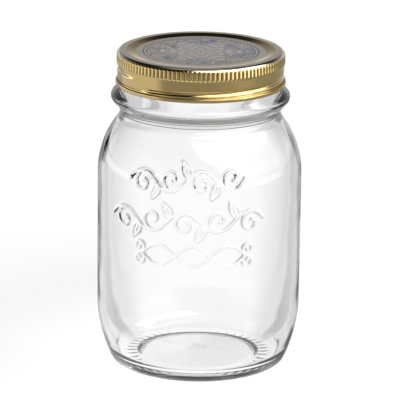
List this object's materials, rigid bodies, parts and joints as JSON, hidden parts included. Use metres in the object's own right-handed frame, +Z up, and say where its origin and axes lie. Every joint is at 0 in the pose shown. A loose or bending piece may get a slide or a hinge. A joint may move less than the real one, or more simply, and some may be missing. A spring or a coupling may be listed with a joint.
{
  "type": "preserving jar",
  "caption": "Round-shouldered clear glass preserving jar with a neck bead and a one-piece gold screw lid that unscrews along its right-hand thread.",
  "frame": {"origin": "centre of the contact ring that the jar stands on", "axes": "+Z up along the jar's axis, -Y towards the front with the raised ornament, +X to its right"},
  "size_m": [0.0876, 0.0876, 0.139],
  "materials": {
    "jar_glass": "clear soda-lime glass, fire-polished, with a raised ornament on the front",
    "seal_compound": "cream vinyl sealing compound, matt",
    "lid_tinplate": "tinplate with a satin gold lacquer and a printed grey-blue panel on the top"
  },
  "bodies": {
    "jar": {"glass_jar": "jar_glass"},
    "seal": {"sealing_ring": "seal_compound"},
    "lid": {"lid_shell": "lid_tinplate"}
  },
  "joints": [
    {"name": "lid_rise", "type": "slide", "parent": "jar", "child": "seal", "axis": [0, 0, 1], "range_m": [0, 0.0187]},
    {"name": "lid_turn", "type": "hinge", "parent": "seal", "child": "lid", "pos_m": [0, 0, 0.1318], "axis": [0, 0, 1], "range_deg": [0, 1440]}
  ],
  "couplings": [
    {"joint": "lid_rise", "follows": "lid_turn", "m_per_rad": 0.00074007}
  ]
}
